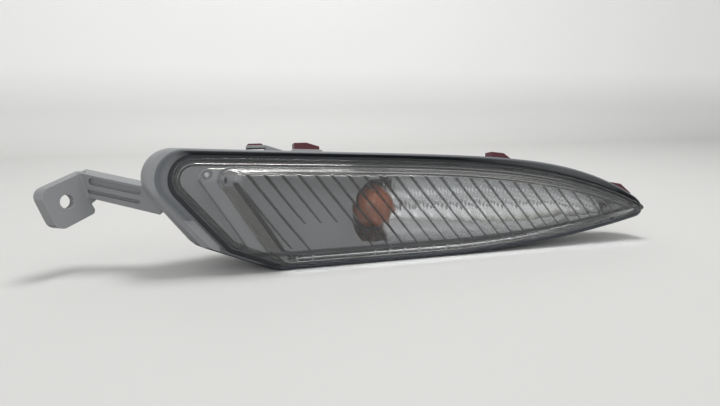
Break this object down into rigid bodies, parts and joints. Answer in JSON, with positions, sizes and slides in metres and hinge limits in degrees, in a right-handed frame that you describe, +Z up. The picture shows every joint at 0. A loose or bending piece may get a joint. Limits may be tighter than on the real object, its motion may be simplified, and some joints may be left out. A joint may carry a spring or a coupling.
{
  "type": "vehicle indicator lamp",
  "caption": "Tapered indicator lamp with a stepped clear ribbed lens, amber bulb in a quarter-turn holder, bright reflector and a side bracket with a fixing hole.",
  "frame": {"origin": "centre of the fixing hole at the front face of the bracket's tab", "axes": "+X along the lamp from the bracket to the tip, +Y from the lens to the back, +Z up as the lamp rests on its flat underside"},
  "size_m": [0.3061, 0.0787, 0.0572],
  "materials": {
    "housing_plastic": "fine matte grain",
    "clear_lens": "clear, lightly smoked",
    "sealant": "satin",
    "bezel_plastic": "satin",
    "bright_coating": "metallised",
    "rubber": "matte",
    "clip_plastic": "satin",
    "plate_plastic": "satin",
    "holder_plastic": "satin",
    "terminal_brass": "tinned",
    "amber_glass": "clear amber",
    "cap_metal": "plated",
    "black_glass": "gloss",
    "solder": "dull",
    "clear_glass": "clear",
    "wire": "drawn"
  },
  "bodies": {
    "lamp": {"housing": "housing_plastic", "lens": "clear_lens", "lens_seal": "sealant", "bezel": "bezel_plastic", "reflector": "bright_coating", "vent_cap": "rubber", "tongue_pad": "clip_plastic", "spring_plate": "plate_plastic", "left_hook": "clip_plastic", "right_hook": "clip_plastic", "end_clip": "clip_plastic"},
    "holder": {"bulb_holder": "holder_plastic", "holder_seal": "rubber", "live_terminal": "terminal_brass", "ground_terminal": "terminal_brass", "bulb_glass": "amber_glass", "bulb_cap": "cap_metal", "bulb_insulator": "black_glass", "bulb_contact": "solder", "bulb_stem": "clear_glass", "bulb_leads": "wire", "bulb_filament": "wire"}
  },
  "joints": [
    {"name": "holder_turn", "type": "hinge", "parent": "lamp", "child": "holder", "pos_m": [0.13875, 0.02208, -0.01493], "axis": [0, 0.9781, -0.2079], "range_deg": [0, 45]}
  ]
}
